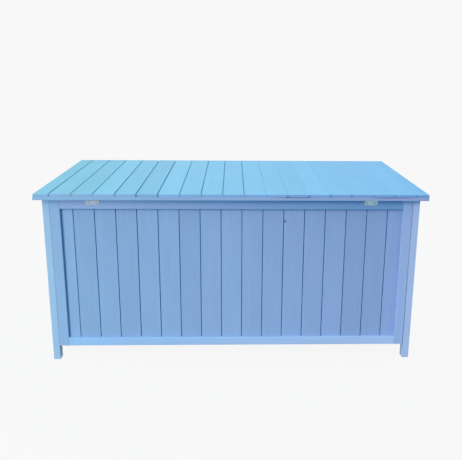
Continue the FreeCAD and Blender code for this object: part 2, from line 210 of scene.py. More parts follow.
def shade(tree, colour, factor, low, high):
    """Multiply a colour by a grey that runs from low to high as the factor runs from 0 to 1."""
    grey = add(tree, "MapRange", {"To Min": low, "To Max": high}, {"Value": factor})
    scaled = add(tree, "VectorMath", None, {0: colour, "Scale": grey.outputs["Result"]}, operation="SCALE")
    return scaled.outputs["Vector"]


def knots(tree, timber):
    """1 in the middle of a knot and 0 away from it; only some of the wood's cells hold one."""
    cells = add(tree, "TexVoronoi", {"Scale": 1 / KNOT_SPACING}, {"Vector": timber})
    near = add(tree, "MapRange", {"From Max": KNOT_RADIUS / KNOT_SPACING, "To Min": 1.0, "To Max": 0.0},
               {"Value": cells.outputs["Distance"]}, interpolation_type="SMOOTHSTEP")
    lot = add(tree, "SeparateXYZ", None, {"Vector": cells.outputs["Color"]}).outputs["X"]
    held = add(tree, "Math", {1: KNOT_SHARE}, {0: lot}, operation="LESS_THAN")
    knot = add(tree, "Math", None, {0: near.outputs["Result"], 1: held.outputs[0]}, operation="MULTIPLY")
    return knot.outputs[0]


print("rings every", RING_SPACING / MM, "mm, and knots about every", KNOT_SPACING / MM, "mm")

# %% [markdown]
# ## Age and painted light
# What time did to the paint, and the light and shade painted into it, depend on where a point lies
# on the chest, so they are worked out from the chest's own coordinates. The blue shifts a little
# from the left end to the right, partly in the paint and partly as painted light. Under the lid's
# overhang the colour is deeper, as painted shade. Painted shade in the colour of the joints' dirt
# lies in the corners right under the top rails and beside the left stiles. The upright pieces are
# painted lighter towards the floor and darker towards the lid, and beside one joint a small round
# spot is darker. Images could carry all this, but a place and a width in millimetres are easier to
# read and to change.

# %% Ageing and painted light
# How far from the chest's middle, in metres, an outward face has to lie to take the painted shade under the
# lid and in the corners
OUTWARD_TRACE = 0.1
OUTWARD_FULL = 0.25
# Painted shade under the lid's overhang: how far down it reaches, how it falls off, its tint, and where
# along the chest it sets in
LID_SHADE_DEPTH = 17.0 * MM
LID_SHADE_FALLOFF = 1.4
LID_SHADE_TINT = (0.1, 0.66, 0.72)
LID_SHADE_START = -520.0 * MM
LID_SHADE_FULL = 150.0 * MM
# Dirt in the joints, whose colour is also laid as painted shade in the corners, and that shade's reach, core
# and share
DIRT_AND_SHADE_COLOUR = "0c78b4"
CORNER_SHADE_WIDTH = 4.2 * MM
CORNER_SHADE_CORE = 2.6 * MM
CORNER_SHADE_SHARE = 0.8
# A darker round spot beside one joint: its place, reach, core and how dark it is
DARK_SPOT_PLACE = (0.162, -0.294, 0.46)
DARK_SPOT_RADIUS = 6.0 * MM
DARK_SPOT_CORE = 3.0 * MM
DARK_SPOT_SHADE = 0.47
# Painted light: how much lighter an upright piece is at the floor than halfway up, and how much darker at
# the lid
HEIGHT_SHADE_AMOUNT = 0.065


def place_on_chest(tree):
    """How far along, across and up the chest a point lies, as the sockets X, Y and Z."""
    return add(tree, "SeparateXYZ", None, {"Vector": add(tree, "TexCoord").outputs["Object"]}).outputs


def tinted(tree, colour, share, first, second):
    """Multiply a colour by a tint that turns from the first to the second as the share grows to 1."""
    tint = add(tree, "Mix", {MIX_A: (*first, 1), MIX_B: (*second, 1)}, {"Factor": share}, data_type="RGBA")
    product = add(tree, "VectorMath", None, {0: colour, 1: tint.outputs[MIX_RESULT]}, operation="MULTIPLY")
    return product.outputs["Vector"]


def dirt_and_shade_laid(tree, colour, share):
    """Cover a colour with the joints' dirt colour, wholly where the share is 1: real dirt in the joints,
    painted shade in the corners.
    """
    dirty = add(tree, "Mix", {MIX_B: linear(DIRT_AND_SHADE_COLOUR)}, {"Factor": share, MIX_A: colour}, data_type="RGBA")
    return dirty.outputs[MIX_RESULT]


def drifted(tree, colour, drift):
    """Change a colour along the chest, by these shares of its red, green and blue at the right end."""
    share = add(tree, "MapRange", {"From Min": cad_low.x, "From Max": cad_high.x},
                {"Value": place_on_chest(tree)["X"]})
    left_tint = [1 - change for change in drift]
    right_tint = [1 + change for change in drift]
    return tinted(tree, colour, share.outputs["Result"], left_tint, right_tint)


def outward(tree):
    """1 on the faces that look away from the chest's middle line, and 0 on its inner faces."""
    coordinates = add(tree, "TexCoord").outputs
    level_place = add(tree, "VectorMath", {1: (1, 1, 0)}, {0: coordinates["Object"]}, operation="MULTIPLY")
    facing = add(tree, "VectorMath", None, {0: coordinates["Normal"], 1: level_place.outputs["Vector"]},
                 operation="DOT_PRODUCT")
    return add(tree, "MapRange", {"From Min": OUTWARD_TRACE, "From Max": OUTWARD_FULL},
               {"Value": facing.outputs["Value"]}).outputs["Result"]


def close_to(tree, coordinate, place):
    """1 right beside a place along an axis, and 0 from the corner shade's width away."""
    offset = add(tree, "Math", {1: place}, {0: coordinate}, operation="SUBTRACT")
    distance = add(tree, "Math", None, {0: offset.outputs[0]}, operation="ABSOLUTE")
    return add(tree, "MapRange", {"From Min": CORNER_SHADE_WIDTH, "From Max": CORNER_SHADE_CORE},
               {"Value": distance.outputs[0]}).outputs["Result"]


def shaded_in_corners(tree, colour):
    """Painted shade: darken the boards in the corners right under the top rails and beside the left stiles.
    """
    place = place_on_chest(tree)
    under = close_to(tree, place["Z"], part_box("hinge_side_top_rail")[0].z)
    beside = close_to(tree, place["X"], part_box("hinge_side_left_stile")[1].x)
    share = add(tree, "Math", None, {0: under, 1: beside}, operation="MAXIMUM")
    share = add(tree, "Math", None, {0: share.outputs[0], 1: outward(tree)}, operation="MULTIPLY")
    share = add(tree, "Math", {1: CORNER_SHADE_SHARE}, {0: share.outputs[0]}, operation="MULTIPLY")
    return dirt_and_shade_laid(tree, colour, share.outputs[0])


def darkened_spot(tree, colour):
    """Darken a small round spot beside a joint."""
    place = add(tree, "TexCoord").outputs["Object"]
    away = add(tree, "VectorMath", {1: DARK_SPOT_PLACE}, {0: place}, operation="DISTANCE").outputs["Value"]
    share = add(tree, "MapRange", {"From Min": DARK_SPOT_RADIUS, "From Max": DARK_SPOT_CORE}, {"Value": away})
    return shade(tree, colour, share.outputs["Result"], 1.0, DARK_SPOT_SHADE)


def shaded_by_height(tree, colour):
    """Painted light: lighten an upright piece towards the floor and darken it towards the lid."""
    share = add(tree, "MapRange", {"From Max": cad_high.z}, {"Value": place_on_chest(tree)["Z"]})
    return shade(tree, colour, share.outputs["Result"], 1 + HEIGHT_SHADE_AMOUNT, 1 - HEIGHT_SHADE_AMOUNT)


def shaded_under_lid(tree, colour):
    """Painted shade: deepen a colour under the lid's overhang, on outward faces, more towards the right end.
    """
    place = place_on_chest(tree)
    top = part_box("hinge_side_top_rail")[1].z
    near = add(tree, "MapRange", {"From Min": top - LID_SHADE_DEPTH, "From Max": top}, {"Value": place["Z"]})
    near = add(tree, "Math", {1: LID_SHADE_FALLOFF}, {0: near.outputs["Result"]}, operation="POWER")
    along = add(tree, "MapRange", {"From Min": LID_SHADE_START, "From Max": LID_SHADE_FULL},
                {"Value": place["X"]})
    share = add(tree, "Math", None, {0: near.outputs[0], 1: along.outputs["Result"]}, operation="MULTIPLY")
    share = add(tree, "Math", None, {0: share.outputs[0], 1: outward(tree)}, operation="MULTIPLY")
    return tinted(tree, colour, share.outputs[0], (1, 1, 1), LID_SHADE_TINT)


# Both reaches are of painted shade, in the corners and under the lid
print("dirt reaches", CORNER_SHADE_WIDTH / MM, "mm into a corner and", LID_SHADE_DEPTH / MM, "mm down from the lid")

# %% [markdown]
# ## The coat
# A coat is put together in steps: first its colour, which differs between upright faces, level faces
# and sawn ends, where the level faces' lit colour is painted light. Then come its age and painted
# light and shade, then the patterns, and last the painted shade in the corners and the joints' dirt.
# Each pattern multiplies the colour by a grey close to 1, so they add up without any of them standing
# out. The rings, knots and strokes also raise or dent the surface by less than half a millimetre.
# Real geometry for them would take millions of faces, while bump costs nothing and looks the same
# from a step away.

# %% Paint material
# How dark and how light each pattern makes the paint
TONE_SHADES = (0.955, 1.045)
PATCH_SHADES = (0.94, 1.06)
STROKE_SHADES = (0.93, 1.07)
RING_SHADES = (0.985, 1.015)
KNOT_SHADE = 0.93
# The rounded arrises are lighter: partly thin, worn paint, partly a painted highlight
ARRIS_WEAR_AND_HIGHLIGHT = 1.12
# How much darker rings and knots are under a thin coat
THIN_COAT_RING = 0.05
THIN_COAT_KNOT = 0.1
# Satin gloss, and how much smoother or rougher the strokes make it
PAINT_IOR = 1.48
PAINT_GLOSS = 0.15
PAINT_ROUGHNESS = 0.52
STROKE_SMOOTHER = 0.08
STROKE_ROUGHER = 0.1
# How level a face has to be to take the lit colour, from a first trace to all of it
LEVEL_TRACE = 0.3
LEVEL_FULL = 0.9


def paint(name, colour, lit_colour, end_colour, drift, thinness=0.0, under_lid_shade=False, corner_shade=False,
          upright=False):
    """Satin paint brushed on softwood.

    The lit colour is that of faces that look up or down, painted light, and the end colour that of
    sawn ends. thinness is 1 for a single coat that the wood shows through. Paint under the lid takes
    painted shade there, paint for the corners takes painted shade in them and a darker spot beside one
    joint, and paint for upright pieces is painted lighter at the floor and darker at the lid.
    """
    material, tree = empty_material(name)
    timber = add(tree, "Attribute", attribute_name="timber").outputs["Vector"]
    tone, arris, end_grain, joint = [add(tree, "Attribute", attribute_name=mark).outputs["Fac"]
                                     for mark in ("tone", "arris", "end_grain", "joint")]

    rings_scale = stretch(RING_SPACING, RING_STRETCH * RING_SPACING)
    rings_place = add(tree, "Mapping", {"Scale": rings_scale}, {"Vector": timber}).outputs["Vector"]
    wander = add(tree, "TexNoise", {"Scale": WANDER_SCALE, "Detail": 2.0}, {"Vector": rings_place})
    bend = add(tree, "VectorMath", {1: (0, 1, 0)}, {0: wander.outputs["Color"]}, operation="MULTIPLY")
    far = add(tree, "VectorMath", {"Scale": RING_WANDER}, {0: bend.outputs["Vector"]}, operation="SCALE")
    bent = add(tree, "VectorMath", None, {0: rings_place, 1: far.outputs["Vector"]}, operation="ADD")
    rings = add(tree, "TexWave",
                {"Scale": RING_WAVE_SCALE, "Distortion": 1.2, "Detail": 2.0, "Detail Scale": 1.5},
                {"Vector": bent.outputs["Vector"]}, bands_direction="Y", wave_profile="SIN")
    place = add(tree, "Mapping", {"Scale": stretch(STROKE_WIDTH, STROKE_LENGTH)}, {"Vector": timber})
    strokes = add(tree, "TexNoise", {"Scale": 1.0, "Detail": 3.0, "Roughness": 0.6},
                  {"Vector": place.outputs["Vector"]})
    place = add(tree, "Mapping", {"Scale": stretch(PATCH_WIDTH, PATCH_LENGTH)}, {"Vector": timber})
    patches = add(tree, "TexNoise", {"Scale": 1.0, "Detail": 2.0}, {"Vector": place.outputs["Vector"]})

    normal = add(tree, "TexCoord").outputs["Normal"]
    upward = add(tree, "SeparateXYZ", None, {"Vector": normal}).outputs["Z"]
    level = add(tree, "Math", None, {0: upward}, operation="ABSOLUTE").outputs[0]
    facing = add(tree, "MapRange", {"From Min": LEVEL_TRACE, "From Max": LEVEL_FULL}, {"Value": level})
    # Level faces take the lit colour: painted light from above
    mixed = add(tree, "Mix", {MIX_A: linear(colour), MIX_B: linear(lit_colour)},
                {"Factor": facing.outputs["Result"]}, data_type="RGBA")
    ended = add(tree, "Mix", {MIX_B: linear(end_colour)},
                {"Factor": end_grain, MIX_A: mixed.outputs[MIX_RESULT]}, data_type="RGBA")
    # Shift along the chest: partly the paint's own, partly painted light
    body = drifted(tree, ended.outputs[MIX_RESULT], drift)
    # Painted light: lighter towards the floor, darker towards the lid
    if upright:
        body = shaded_by_height(tree, body)
    # Painted shade under the lid's overhang
    if under_lid_shade:
        body = shaded_under_lid(tree, body)
    body = shade(tree, body, tone, *TONE_SHADES)
    body = shade(tree, body, patches.outputs["Fac"], *PATCH_SHADES)
    body = shade(tree, body, strokes.outputs["Fac"], *STROKE_SHADES)
    darkest_ring, lightest_ring = RING_SHADES
    body = shade(tree, body, rings.outputs["Fac"], darkest_ring - THIN_COAT_RING * thinness, lightest_ring)
    knot = knots(tree, timber)
    body = shade(tree, body, knot, 1.0, KNOT_SHADE - THIN_COAT_KNOT * thinness)
    # Lighter arrises, partly worn paint and partly a painted highlight
    body = shade(tree, body, arris, 1.0, ARRIS_WEAR_AND_HIGHLIGHT)
    # Painted shade in the corners, and a darker spot beside one joint
    if corner_shade:
        body = darkened_spot(tree, shaded_in_corners(tree, body))
    body = dirt_and_shade_laid(tree, body, joint)

    ring_bump = add(tree, "Bump", {"Strength": 1.0, "Distance": RING_RELIEF},
                    {"Height": rings.outputs["Fac"]})
    knot_bump = add(tree, "Bump", {"Strength": 1.0, "Distance": -KNOT_RELIEF},
                    {"Height": knot, "Normal": ring_bump.outputs["Normal"]})
    stroke_bump = add(tree, "Bump", {"Strength": 1.0, "Distance": STROKE_RELIEF},
                      {"Height": strokes.outputs["Fac"], "Normal": knot_bump.outputs["Normal"]})
    smoothest = PAINT_ROUGHNESS - STROKE_SMOOTHER
    roughest = PAINT_ROUGHNESS + STROKE_ROUGHER
    sheen = add(tree, "MapRange", {"To Min": smoothest, "To Max": roughest},
                {"Value": strokes.outputs["Fac"]})
    surface = add(tree, "BsdfPrincipled", {"IOR": PAINT_IOR, "Specular IOR Level": PAINT_GLOSS},
                  {"Base Color": body, "Roughness": sheen.outputs["Result"],
                   "Normal": stroke_bump.outputs["Normal"]})
    add(tree, "OutputMaterial", None, {"Surface": surface.outputs["BSDF"]})
    return material


print("paint with a roughness of", PAINT_ROUGHNESS)

# %% [markdown]
# ## The chest's paints
# All of the chest was painted from one kind of tin, but sun, dirt and a second coat here and there
# have set its parts apart, and each paint also carries some painted light: in the picture the lid is
# greener than the walls, and the legs are paler.
# Each kind of piece therefore has a paint of its own. One paint with a single colour would be
# shorter, and would turn the chest into a plastic box.

# %% Make the paints
# By what shares the red, green and blue of each paint change from the middle to the right end
# The change is partly the paint's own and partly painted light, which differs from the left end to the
# right; the rails' loss of red towards the right is painted shade
LID_DRIFT = (-0.13, -0.075, 0.05)
BATTEN_DRIFT = (0.16, -0.05, 0.03)
WALL_DRIFT = (0.07, -0.015, 0.04)
RAIL_DRIFT = (-0.29, -0.08, -0.03)
FRAME_DRIFT = (0.13, 0.035, 0.075)
BOTTOM_DRIFT = (0.22, 0.075, 0.055)
paints = {
    # The lid lies in full light, a pale blue with some green in it
    "lid_board_paint": paint("lid paint", "79bade", "79bade", "86abd6", LID_DRIFT),
    # The battens show as a greyer line under the lid's edge
    "lid_batten_paint": paint("batten paint", "97b0d6", "80c4ea", "7ba3cf", BATTEN_DRIFT),
    # The walls stand back from the frame, and their blue is duller and a trace violet, partly painted shade;
    # they also take painted shade in the corners and are painted lighter towards the floor
    "wall_board_paint": paint("wall paint", "91afd8", "92c6ec", "7898c4", WALL_DRIFT, corner_shade=True,
                              upright=True),
    # The top rails have the deepest blue, with painted shade under the lid's overhang that deepens to the
    # right
    "frame_paint": paint("frame paint", "89aad5", "97c5eb", "86abd6", RAIL_DRIFT, under_lid_shade=True),
    # The floor has one thin coat, with the wood's rings and knots plain to see
    "floor_paint": paint("floor paint", "89acd7", "88b4dc", "7898c4", WALL_DRIFT, thinness=1.0),
}
# The legs are among the palest pieces, so they frame the darker walls; they take painted shade under the lid
# and painted light by height
leg_paint = paint("leg paint", "a9c4e4", "a5ccee", "8ab0da", FRAME_DRIFT, under_lid_shade=True, upright=True)
# The stiles lie between the legs and the walls, in place and in colour, with painted shade under the lid and
# painted light by height
stile_paint = paint("stile paint", "9cbae2", "97c5eb", "86abd6", FRAME_DRIFT, under_lid_shade=True, upright=True)
# The bottom rails are a clear light blue that ends the chest against the white ground
bottom_rail_paint = paint("bottom rail paint", "a9c9f1", "9dc1e6", "8ab0da", BOTTOM_DRIFT)
print("paints for", len(paints), "slots, and three more for legs, stiles and bottom rails")

# %% [markdown]
# ## Metal and bare beech
# The hinges are pressed from steel sheet and zinc plated, a grey with a faint blue cast and small
# bright crystals. The zinc on such hinges is often passivated, which leaves straw-coloured clouds.
# Their colours are bluer than the plating alone, a painted reflection of the blue paint around them.
# The screws have the same plating, in a darker colour that is painted shade for the countersinks they
# sit in. Nail heads and the screws in the frame were painted over with the wood, so they get the
# paint's colour over a dimpled head.
#
# Zinc could be one grey with a low roughness, but that looks like chrome at this size. A Voronoi
# texture breaks it into crystals that each take the light a little differently. The dowels in the
# frame's joints are turned from beech and stay bare, because no brush reaches them.

# %% Metal and beech materials
# Crystals in the zinc, and clouds that fade in between two values of their texture
ZINC_CRYSTAL = 0.9 * MM
CRYSTAL_SHADES = (0.9, 1.06)
CRYSTAL_SMOOTHER = 0.08
CRYSTAL_ROUGHER = 0.12
CLOUD_SIZE = 9.0 * MM
CLOUD_TRACE = 0.35
CLOUD_FULL = 0.7
ZINC_DENT = 0.02 * MM
# Uneven paint over a steel head
BLOB_SIZE = 1.5 * MM
BLOB_RELIEF = 0.1 * MM
HEAD_ROUGHNESS = 0.45
# Beech and its flecks, whose radius is a share of their spacing
FLECK_SPACING = 1.4 * MM
FLECK_RADIUS = 0.4
BEECH_IOR = 1.5
BEECH_ROUGHNESS = 0.7


def zinc(name, colour, cloud_colour, cloudiness, roughness):
    """Zinc plating: fine crystals, straw-coloured clouds and a soft gloss."""
    material, tree = empty_material(name)
    place = add(tree, "TexCoord").outputs["Object"]
    crystals = add(tree, "TexVoronoi", {"Scale": 1 / ZINC_CRYSTAL}, {"Vector": place})
    clouds = add(tree, "TexNoise", {"Scale": 1 / CLOUD_SIZE, "Detail": 3.0}, {"Vector": place})
    amount = add(tree, "MapRange", {"From Min": CLOUD_TRACE, "From Max": CLOUD_FULL, "To Max": cloudiness},
                 {"Value": clouds.outputs["Fac"]})
    mixed = add(tree, "Mix", {MIX_A: linear(colour), MIX_B: linear(cloud_colour)},
                {"Factor": amount.outputs["Result"]}, data_type="RGBA")
    colours = shade(tree, mixed.outputs[MIX_RESULT], crystals.outputs["Color"], *CRYSTAL_SHADES)
    smoothest = roughness - CRYSTAL_SMOOTHER
    roughest = roughness + CRYSTAL_ROUGHER
    gloss = add(tree, "MapRange", {"To Min": smoothest, "To Max": roughest},
                {"Value": crystals.outputs["Color"]})
    dents = add(tree, "Bump", {"Strength": 0.4, "Distance": ZINC_DENT}, {"Height": clouds.outputs["Fac"]})
    surface = add(tree, "BsdfPrincipled", {"Metallic": 1.0},
                  {"Base Color": colours, "Roughness": gloss.outputs["Result"],
                   "Normal": dents.outputs["Normal"]})
    add(tree, "OutputMaterial", None, {"Surface": surface.outputs["BSDF"]})
    return material


def painted_steel(name, hollow_colour, colour):
    """Paint over a steel head: it gathers in the hollows and lies thin on the rims."""
    material, tree = empty_material(name)
    place = add(tree, "TexCoord").outputs["Object"]
    blobs = add(tree, "TexNoise", {"Scale": 1 / BLOB_SIZE, "Detail": 2.0}, {"Vector": place})
    colours = add(tree, "Mix", {MIX_A: linear(hollow_colour), MIX_B: linear(colour)},
                  {"Factor": blobs.outputs["Fac"]}, data_type="RGBA").outputs[MIX_RESULT]
    dents = add(tree, "Bump", {"Strength": 0.6, "Distance": BLOB_RELIEF}, {"Height": blobs.outputs["Fac"]})
    surface = add(tree, "BsdfPrincipled", {"IOR": PAINT_IOR, "Roughness": HEAD_ROUGHNESS},
                  {"Base Color": colours, "Normal": dents.outputs["Normal"]})
    add(tree, "OutputMaterial", None, {"Surface": surface.outputs["BSDF"]})
    return material


def bare_beech(name, colour, fleck_colour):
    """Unpainted beech, pale pinkish brown, with the short dark flecks of its rays."""
    material, tree = empty_material(name)
    place = add(tree, "TexCoord").outputs["Object"]
    flecks = add(tree, "TexVoronoi", {"Scale": 1 / FLECK_SPACING}, {"Vector": place})
    fleck = add(tree, "MapRange", {"From Max": FLECK_RADIUS, "To Min": 1.0, "To Max": 0.0},
                {"Value": flecks.outputs["Distance"]})
    colours = add(tree, "Mix", {MIX_A: linear(colour), MIX_B: linear(fleck_colour)},
                  {"Factor": fleck.outputs["Result"]}, data_type="RGBA").outputs[MIX_RESULT]
    surface = add(tree, "BsdfPrincipled", {"IOR": BEECH_IOR, "Roughness": BEECH_ROUGHNESS},
                  {"Base Color": colours})
    add(tree, "OutputMaterial", None, {"Surface": surface.outputs["BSDF"]})
    return material


# The zinc colours are bluer than bare zinc: partly the plating's own cast, partly painted reflection of the
# blue paint around the hinges
# The left hinge is plain zinc: a small pale grey glint in the dark under the lid
hinge_zinc = zinc("zinc plated steel", "93a5bc", "939b95", 0.5, 0.42)
# The right hinge is yellow passivated, so the same glint looks a little greenish
yellow_zinc = zinc("yellow passivated zinc", "88accb", "a6cfa7", 0.7, 0.45)
# The hinges' screws are darker dots in their leaves, a darker colour that is painted shade for their
# countersinks
screw_zinc = zinc("zinc plated screw", "858d9a", "8a8872", 0.4, 0.4)
# Nail and screw heads are only a trace darker and glossier than the paint around them
nail_paint = painted_steel("paint over a nail head", "7594c0", "83a5d3")
screw_paint = painted_steel("paint over a screw head", "84a7d0", "94bae5")
# The dowels are the one warm colour, where a joint is open enough to show them
dowel_beech = bare_beech("bare beech", "cca375", "a87c52")
print("plating on", ZINC_CRYSTAL / MM, "mm crystals, beech with a fleck every", FLECK_SPACING / MM, "mm")

# %% [markdown]
# ## From a machined timber to a real one
# The frame's timbers are exact: flat faces, and small straight chamfers where the plane eased the
# edges. Real ones have rounded arrises, board joints that open and close by a fraction of a
# millimetre, and faces that stand a little higher or lower than their neighbours. New boards could
# be extruded from a section, but they would have no nail holes. So each timber starts as a copy of
# its own mesh. A mesh that comes in from another program is loose triangles, so the copy is merged
# first and its flat faces are made whole. Then it is cut across into short lengths, so that a board's
# width can change along it, and its arrises are bevelled round. The points of the boards and of the
# parted seams are then moved a little.

# %% Copy and round a timber
# How close points are merged, and how flat two faces lie that are made one
WELD = 0.001 * MM
FLAT_ANGLE = radians(1.0)
# The lengths that a timber is cut into, and its rounded arrises
STATION_SPACING = 45.0 * MM
ARRIS_RADIUS = 0.3 * MM
ARRIS_SEGMENTS = 2
# Shorter edges than these, along the grain and at a board's end, stay as they are
SHORTEST_ARRIS = 4.0 * MM
SHORTEST_END_ARRIS = 0.5 * MM
# The least turn at an arris, and the least cosine between the grain and an edge that runs with it
EASED_ANGLE = radians(30)
WITH_GRAIN = 0.999
AXES = {"X": 0, "Y": 1, "Z": 2}


def merged_copy(name):
    """A node's mesh with its triangles merged and its flat faces made whole."""
    timber = bmesh.new()
    timber.from_mesh(nodes[name].data)
    bmesh.ops.remove_doubles(timber, verts=timber.verts, dist=WELD)
    bmesh.ops.dissolve_limit(timber, angle_limit=FLAT_ANGLE, verts=timber.verts, edges=timber.edges)
    return timber


def cut_across(timber, axis, low, high):
    """Cut every piece in the mesh into lengths along the grain."""
    count = max(1, round((high - low) / STATION_SPACING))
    normal = Vector((0, 0, 0))
    normal[axis] = 1
    for number in range(1, count):
        place = normal * (low + (high - low) * number / count)
        everything = timber.verts[:] + timber.edges[:] + timber.faces[:]
        bmesh.ops.bisect_plane(timber, geom=everything, dist=WELD, plane_co=place, plane_no=normal)


def is_arris(edge, axis, ends):
    """Whether an edge is one that a plane or sandpaper would have eased."""
    if len(edge.link_faces) != 2 or edge.calc_face_angle() < EASED_ANGLE:
        return False
    along = edge.verts[1].co - edge.verts[0].co
    with_grain = abs(along[axis]) > WITH_GRAIN * along.length
    at_end = any(all(abs(vert.co[axis] - end) < WELD for vert in edge.verts) for end in ends)
    if with_grain:
        return along.length > SHORTEST_ARRIS
    return at_end and along.length > SHORTEST_END_ARRIS


def islands(timber):
    """The separate boards in a mesh, each a list of its vertices."""
    left = set(timber.verts)
    found = []
    while left:
        group = [left.pop()]
        for vert in group:
            for edge in vert.link_edges:
                other = edge.other_vert(vert)
                if other in left:
                    left.remove(other)
                    group.append(other)
        found.append(group)
    return sorted(found, key=lambda group: tuple(round(x, 4) for x in group_centre(group)))


def group_centre(group):
    """The middle of a group's box."""
    return sum(group_box(group), Vector((0, 0, 0))) / 2


def group_box(group):
    """The lowest and the highest corner of a group's box."""
    low = Vector([min(vert.co[i] for vert in group) for i in range(3)])
    high = Vector([max(vert.co[i] for vert in group) for i in range(3)])
    return low, high


print("timbers are cut every", STATION_SPACING / MM, "mm and rounded by", ARRIS_RADIUS / MM, "mm")

# %% [markdown]
# ## Wear and movement
# Boards shrink across the grain as they dry, and hardly at all along it. So a point moves towards
# the middle line of its board, by an amount that drifts along the board, and towards the board's
# back, by an amount that belongs to the board. Nothing grows, so every piece stays within the space
# that its timber had. The same walk over the points writes the attributes that the paint reads.

# %% Wear the boards
# How far every board shrinks, how much further it may along its length, and how fast that changes
SHRINK_LEAST = 0.05 * MM
SHRINK_DRIFT = 0.25 * MM
DRIFT_LENGTH = 160.0 * MM
# How far back a board's face may lie, and the least share of the full drying that a board had
SINK_MOST = 0.35 * MM
LEAST_DRYING = 0.5
# How deep below a face its points still belong to it, and how deep the eased arris reaches
SKIN = 1.2 * MM
ARRIS_DEPTH = 0.9 * MM
# The cosines above which a face looks along an axis, squarely or roughly
SQUARE_ON = 0.9
ROUGHLY_ON = 0.5
# A seam's opening wanders around this share of its size, by up to this share
OPENING_MIDDLE = 0.7
OPENING_WANDER = 0.6
# Each board takes its rings from its own place in the texture, up to this far away, in metres
TEXTURE_REACH = 9


def shrunk(vert, middle, half, side, axis, seed, board_shrink):
    """Where a point lies across its board once the board has dried."""
    drift = 0.5 + 0.5 * noise.noise(seed + Vector((vert.co[axis] / DRIFT_LENGTH, 0, vert.co[side] - middle)))
    loss = SHRINK_LEAST + board_shrink + drift * SHRINK_DRIFT
    return middle + (vert.co[side] - middle) * (1 - loss / half)


def in_joint(face, axis, side, depth, show, low, high):
    """Whether a face lies inside the joint between two boards, out of the brush's reach."""
    centre = face.calc_center_median()
    at_edge = min(centre[side] - low[side], high[side] - centre[side]) < WELD
    at_end = abs(face.normal[axis]) > ROUGHLY_ON
    face_level = high[depth] if show > 0 else low[depth]
    back_level = low[depth] if show > 0 else high[depth]
    below = abs(centre[depth] - face_level) > ARRIS_DEPTH
    above = abs(centre[depth] - back_level) > WELD
    return below and above and not at_edge and not at_end


def rounded_timber(name, axis):
    """A copy of a timber that is cut across, with its arrises rounded and marked."""
    timber = merged_copy(name)
    low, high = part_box(name)
    cut_across(timber, axis, low[axis], high[axis])
    arris_layer = timber.faces.layers.float.new("arris")
    ends = (low[axis], high[axis])
    arrises = [edge for edge in timber.edges if is_arris(edge, axis, ends)]
    made = bmesh.ops.bevel(timber, geom=arrises, offset=ARRIS_RADIUS, affect="EDGES",
                           segments=ARRIS_SEGMENTS, profile=0.5, material=-1)
    for face in made["faces"]:
        face[arris_layer] = 1.0
    timber.normal_update()
    return timber


def mark_faces(timber, name, axes, show, seam):
    """Mark a timber's sawn ends, and the faces that are dirty because they lie in a joint."""
    axis, side, depth = axes
    low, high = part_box(name)
    seam_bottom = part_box("hinge_side_left_stile")[0].z
    end_layer = timber.faces.layers.float.new("end_grain")
    joint_layer = timber.faces.layers.float.new("joint")
    for face in timber.faces:
        face.smooth = True
        face[end_layer] = 1.0 if abs(face.normal[axis]) > SQUARE_ON else 0.0
        inside = show and in_joint(face, axis, side, depth, show, low, high)
        covered = face.calc_center_median().z > seam_bottom
        parted = seam and covered and face.normal[side] * seam > SQUARE_ON
        face[joint_layer] = 1.0 if inside or parted else 0.0


def wear_boards(timber, axes, draw, show, movement, seam, opening, sink_most):
    """Move the points of every board, and write the board's tone and its place in the texture."""
    axis, side, depth = axes
    timber_layer = timber.verts.layers.float_vector.new("timber")
    tone_layer = timber.verts.layers.float.new("tone")
    for group in islands(timber):
        box_low, box_high = group_box(group)
        middle = (box_low + box_high) / 2
        half = (box_high - box_low)[side] / 2
        own = Vector([draw.uniform(-TEXTURE_REACH, TEXTURE_REACH) for number in range(3)])
        tone = draw.random()
        board_shrink = movement * draw.uniform(LEAST_DRYING, 1)
        sink = draw.uniform(0, sink_most)
        face_level = box_high[depth] if show > 0 else box_low[depth]
        for vert in group:
            place = vert.co - middle
            vert[timber_layer] = own + Vector((place[axis], place[side], place[depth]))
            vert[tone_layer] = tone
            if movement:
                vert.co[side] = shrunk(vert, middle[side], half, side, axis, own, board_shrink)
            if show and abs(vert.co[depth] - face_level) < SKIN:
                vert.co[depth] -= show * sink
            if seam and place[side] * seam > half - SKIN:
                wander = OPENING_WANDER * noise.noise(own + vert.co / DRIFT_LENGTH)
                vert.co[side] -= seam * opening * (OPENING_MIDDLE + wander)


print("a board's face lies back by up to", SINK_MOST / MM, "mm")

# %% [markdown]
# A worn timber becomes an object with a coat of paint. Smooth shading alone would make its flat
# faces look swollen beside the rounded arrises, so a modifier weighs the normals by face size.

# %% Make a painted piece
# Edges sharper than this stay crisp under the smoothed shading
SHARP_ANGLE = radians(40)
# The number that every board's chances are drawn from
SEED = 27


def put_in_scene(name, shape, material):
    """Make an object of one material from a finished bmesh."""
    mesh = bpy.data.meshes.new(name)
    shape.to_mesh(mesh)
    shape.free()
    mesh.materials.append(material)
    thing = bpy.data.objects.new(name, mesh)
    bpy.context.scene.collection.objects.link(thing)
    return thing


